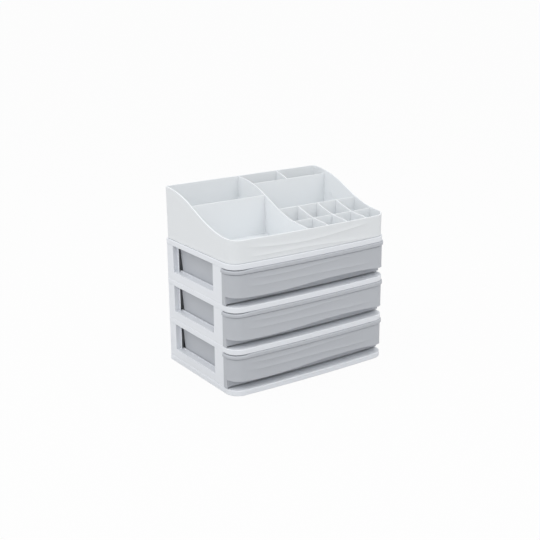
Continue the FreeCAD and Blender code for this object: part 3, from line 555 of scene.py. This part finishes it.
def tray_profile(place, normal):
    """Section of the tray's wall: outside with relief, rounded rim, inside, foot ring."""
    x, y = place
    rim = side_edge(y)
    low, high = tray_lines(x)
    high = min(high, rim - RIM_ROUND - LINE_UNDER_RIM)
    crest = CREST if y < CORNER_BACK else 0.0
    crests = [(low, crest * fade(x, CRESTS_IN, TRAY_LOW_OUT)),
              (high, crest * fade(x, CRESTS_IN, TRAY_HIGH_OUT))]
    loop = [(tray_face(0) - FOOT_EDGE_IN, 0.0)]
    for out, up in relief_rows(FOOT_EDGE_HIGH, rim - RIM_ROUND, crests):
        loop.append((tray_face(up) + out, up))
    face = tray_face(rim)
    loop += quarter(face - RIM_ROUND, rim - RIM_ROUND, RIM_ROUND, 0, steps=6)
    loop += quarter(face - TRAY_WALL + RIM_ROUND, rim - RIM_ROUND, RIM_ROUND, 90, steps=6)
    inner = tray_face(TRAY_FLOOR) - TRAY_WALL
    loop += quarter(inner - FLOOR_ROUND, TRAY_FLOOR + FLOOR_ROUND, FLOOR_ROUND, 0, steps=4,
                    clockwise=True)
    loop += [(inner - FLOOR_LAP, TRAY_FLOOR), (inner - FLOOR_LAP, TRAY_UNDER),
             (inner, TRAY_UNDER), (inner, 0.0)]
    return loop


def tray():
    """The tray's shell: the swept wall and a floor slab that fills its middle."""
    path = closed_path(TRAY_BACK_RADIUS)
    floor_row = len(tray_profile(*path[0])) - FLOOR_ROWS
    wall = sweep("tray_shell_shown", path, tray_profile, True, TRAY_FOOT_Z, floor_row)
    smooth(piece("tray_shell_shown", wall, "tray", "tray", ["tray_shell"]))


# Dividers: how far each top lies below the side edge is its drop.
DIVIDER = 2.0
DIVIDER_ROUND = 0.75
DIVIDER_FOOT = TRAY_FLOOR - 0.5
EMBED = 2.0
NEAR = TRAY_IN + TRAY_WALL - EMBED
LONG_AT = 140.5
GRID_CROSS_AT = 45.0
MIDDLE_CROSS_AT = 85.5
LEFT_CROSS_AT = 121.5
REAR_CROSS_AT = 169.0
DROP = 0.8
REAR_DROP = 6.5
CROSS_DROP = 2.0


def divider_section(top):
    """Section of a divider with a rounded top."""
    half = DIVIDER / 2
    centre = half - DIVIDER_ROUND
    left = quarter(-centre, top - DIVIDER_ROUND, DIVIDER_ROUND, 180, steps=3, clockwise=True)
    right = quarter(centre, top - DIVIDER_ROUND, DIVIDER_ROUND, 90, steps=3, clockwise=True)
    return [(-half, DIVIDER_FOOT)] + left[:-1] + right + [(half, DIVIDER_FOOT)]


def divider(name, x0, x1, y0, y1, front_drop=DROP, back_drop=None):
    """An upright plate whose top follows the side edge, a little lower."""
    slope = 0.0 if back_drop is None else (back_drop - front_drop) / (y1 - y0)

    def profile(place, normal):
        y = place[1]
        return divider_section(side_edge(y) - front_drop - slope * (y - y0))

    if y1 - y0 > x1 - x0:
        middle = (x0 + x1) / 2
        front, back = (middle, y0), (middle, y1)
        path = [(front, RIGHT)] + run(front, back, RIGHT) + [(back, RIGHT)]
    else:
        middle = (y0 + y1) / 2
        path = [((x0, middle), BACK), ((x1, middle), BACK)]
    mesh = sweep(name, path, profile, False, TRAY_FOOT_Z)
    smooth(piece(name + "_shown", mesh, "tray", "tray", [name]))


def dividers():
    """The plates between the tray's compartments."""
    half = DIVIDER / 2
    long_left, long_right = LONG_AT - half, LONG_AT + half
    far_x, far_y = WIDTH - NEAR, DEPTH - NEAR
    divider("long_divider", long_left, long_right, NEAR, far_y)
    divider("left_cross_divider", NEAR, long_left, LEFT_CROSS_AT - half, LEFT_CROSS_AT + half)
    divider("rear_cross_divider", long_right, far_x, REAR_CROSS_AT - half, REAR_CROSS_AT + half,
            REAR_DROP)
    middle = (LONG_AT + WIDTH - TRAY_IN - TRAY_WALL) / 2
    divider("rear_short_divider", middle - half, middle + half, REAR_CROSS_AT + half, far_y,
            REAR_DROP, DROP)
    divider("middle_cross_divider", long_right, far_x,
            MIDDLE_CROSS_AT - half, MIDDLE_CROSS_AT + half, CROSS_DROP)
    divider("grid_cross_divider", long_right, far_x, GRID_CROSS_AT - half, GRID_CROSS_AT + half,
            CROSS_DROP)
    cell = (WIDTH - TRAY_IN - TRAY_WALL - LONG_AT) / 4
    for count, label in enumerate(("left", "middle", "right"), start=1):
        at = LONG_AT + cell * count
        divider("grid_%s_divider" % label, at - half, at + half, NEAR + bow(at),
                MIDDLE_CROSS_AT - half)


# A small round mark of the mould, inside the tray's right wall.
MARK_AT = (149.0, 41.7)
MARK_RADIUS = 5.2
MARK_PROUD = 0.3


def mould_mark():
    """A flat disc that stands a little proud of the wall."""
    y, up = MARK_AT
    wall = WIDTH + tray_face(up) - TRAY_WALL
    place = Matrix.Translation(metres(wall, y, TRAY_FOOT_Z + up))
    turn = Matrix.Rotation(math.radians(-90), 4, "Y")
    bm = bmesh.new()
    bmesh.ops.create_cone(bm, cap_ends=True, segments=48, radius1=MARK_RADIUS * MM,
                          radius2=(MARK_RADIUS - MARK_PROUD) * MM, depth=2 * MARK_PROUD * MM,
                          matrix=place @ turn)
    smooth(piece("mould_mark_shown", finished(bm, "mould_mark"), "tray", "tray", []))


# Pieces kept in shape, with softened edges
MERGE = 0.00001
FLAT = math.radians(0.6)
SIDE_SOFTENED = 0.5
BOX_SOFTENED = 0.4
SOFTENED_SEGMENTS = 3
SOFTENED_ANGLE = math.radians(40)

# A guide rib on the rear post and a low rail on the sill, seen through each side window.
GUIDE = ((8.7, 10.0), (176.9, 181.0), (13.5, 58.0))
RAIL = ((12.7, 14.2), (56.0, 181.0), (13.0, 15.3))


def side_boxes(deck, flip):
    """Opposite corners of the rib and the rail of one side frame."""
    out = []
    for (x0, x1), (y0, y1), (z0, z1) in (GUIDE, RAIL):
        if flip:
            x0, x1 = WIDTH - x1, WIDTH - x0
        out.append((metres(x0, y0, deck + z0), metres(x1, y1, deck + z1)))
    return out


def dressed(node, body, slot, width, boxes=()):
    """A copy of a CAD node's mesh with its sharp edges rounded, and small boxes on it."""
    bm = bmesh.new()
    bm.from_mesh(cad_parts[node].data)
    bmesh.ops.remove_doubles(bm, verts=bm.verts, dist=MERGE)
    bmesh.ops.dissolve_limit(bm, angle_limit=FLAT, verts=bm.verts, edges=bm.edges)
    for low, high in boxes:
        cube = bmesh.ops.create_cube(bm, size=1.0)
        for vert in cube["verts"]:
            vert.co = [high[i] if vert.co[i] > 0 else low[i] for i in range(3)]
    mesh = finished(bm, node)
    obj = piece(node + "_shown", mesh, body, slot, [node])
    if "custom_normal" in mesh.attributes:
        mesh.attributes.remove(mesh.attributes["custom_normal"])
    bevel = obj.modifiers.new("soft_edges", "BEVEL")
    bevel.width = width * MM
    bevel.segments = SOFTENED_SEGMENTS
    bevel.limit_method = "ANGLE"
    bevel.angle_limit = SOFTENED_ANGLE
    bevel.harden_normals = False
    smooth(obj)


for tier_index, tier in enumerate(TIERS):
    deck = PITCH * tier_index + PLATE_HIGH
    drawer_front(tier, deck)
    for hand in ("left", "right"):
        node = "%s_%s_side" % (tier, hand)
        dressed(node, "frame", "frame", SIDE_SOFTENED, side_boxes(deck, hand == "right"))
    dressed(tier + "_drawer_box", tier + "_drawer", "drawer", BOX_SOFTENED)
tray()
dividers()
mould_mark()

# The plates and back panels are shown as they are in the CAD.
kept = ["base_plate", "lower_shelf", "upper_shelf", "top_plate"]
kept += [tier + "_back_panel" for tier in TIERS]
for name in kept:
    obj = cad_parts[name]
    obj.data.materials.clear()
    obj.data.materials.append(MATERIALS["frame"])


# Studio
FLOOR_REACH = 30.0
FLOOR_COLOUR = (0.62, 0.62, 0.62)
FLOOR_ROUGHNESS = 0.9
FLOOR_WHITENED = 0.95
LAMPS_AIM = (0, 0, 0.15)
WORLD_STRENGTH = 0.83
WHITE = (1, 1, 1, 1)


def plain(name, colour, roughness):
    """A plain material."""
    mat = bpy.data.materials.new(name)
    mat.use_nodes = True
    shader = mat.node_tree.nodes["Principled BSDF"]
    shader.inputs["Base Color"].default_value = (*colour, 1)
    shader.inputs["Roughness"].default_value = roughness
    return mat


def whitened(mat, share):
    """Blends a material towards plain white where the camera sees it directly."""
    tree = mat.node_tree
    glow = tree.nodes.new("ShaderNodeEmission")
    glow.inputs["Strength"].default_value = 1.0
    blend = tree.nodes.new("ShaderNodeMixShader")
    seen = tree.nodes.new("ShaderNodeLightPath")
    factor = tree.nodes.new("ShaderNodeMath")
    factor.operation = "MULTIPLY"
    factor.inputs[1].default_value = share
    tree.links.new(seen.outputs["Is Camera Ray"], factor.inputs[0])
    tree.links.new(factor.outputs["Value"], blend.inputs["Fac"])
    tree.links.new(tree.nodes["Principled BSDF"].outputs["BSDF"], blend.inputs[1])
    tree.links.new(glow.outputs["Emission"], blend.inputs[2])
    tree.links.new(blend.outputs["Shader"], tree.nodes["Material Output"].inputs["Surface"])
    return mat


def area_light(name, place, size, power):
    """A large soft lamp aimed at the object."""
    data = bpy.data.lights.new(name, "AREA")
    data.shape = "SQUARE"
    data.size = size
    data.energy = power
    lamp = bpy.data.objects.new(name, data)
    lamp.location = place
    aim = Vector(LAMPS_AIM) - Vector(place)
    lamp.rotation_euler = aim.to_track_quat("-Z", "Y").to_euler()
    bpy.context.scene.collection.objects.link(lamp)


floor_corners = [(-FLOOR_REACH, -FLOOR_REACH, 0), (FLOOR_REACH, -FLOOR_REACH, 0),
                 (FLOOR_REACH, FLOOR_REACH, 0), (-FLOOR_REACH, FLOOR_REACH, 0)]
floor_mesh = bpy.data.meshes.new("floor")
floor_mesh.from_pydata(floor_corners, [], [(0, 1, 2, 3)])
floor = bpy.data.objects.new("floor", floor_mesh)
bpy.context.scene.collection.objects.link(floor)
pale = plain("pale_floor", FLOOR_COLOUR, FLOOR_ROUGHNESS)
floor_mesh.materials.append(whitened(pale, FLOOR_WHITENED))

area_light("overhead", (-0.2, 0.2, 2.3), 2.0, 7.3)
area_light("key_front", (0.35, -1.35, 1.85), 1.3, 7.0)
area_light("key_left", (-1.6, -0.25, 1.75), 1.3, 9.5)

# The world lights the object softly, and the camera sees it as plain white.
world = bpy.context.scene.world or bpy.data.worlds.new("studio")
bpy.context.scene.world = world
world.use_nodes = True
tree = world.node_tree
background = tree.nodes["Background"]
background.inputs["Color"].default_value = WHITE
background.inputs["Strength"].default_value = WORLD_STRENGTH
white = tree.nodes.new("ShaderNodeBackground")
white.inputs["Color"].default_value = WHITE
white.inputs["Strength"].default_value = 1.0
seen = tree.nodes.new("ShaderNodeLightPath")
mix = tree.nodes.new("ShaderNodeMixShader")
tree.links.new(seen.outputs["Is Camera Ray"], mix.inputs["Fac"])
tree.links.new(background.outputs["Background"], mix.inputs[1])
tree.links.new(white.outputs["Background"], mix.inputs[2])
tree.links.new(mix.outputs["Shader"], tree.nodes["World Output"].inputs["Surface"])

bpy.context.scene.view_settings.view_transform = "Standard"

# The camera stands where the photo was taken from, with its slight roll.
camera_data = bpy.data.cameras.new("camera")
camera_data.sensor_width = 36.0
camera_data.lens = 64.58
camera = bpy.data.objects.new("camera", camera_data)
camera.location = (-0.8636, -1.2435, 0.6199)
camera.rotation_euler = (math.radians(72.878), math.radians(0.387), math.radians(-34.433))
bpy.context.scene.collection.objects.link(camera)
bpy.context.scene.camera = camera

bpy.context.view_layer.update()
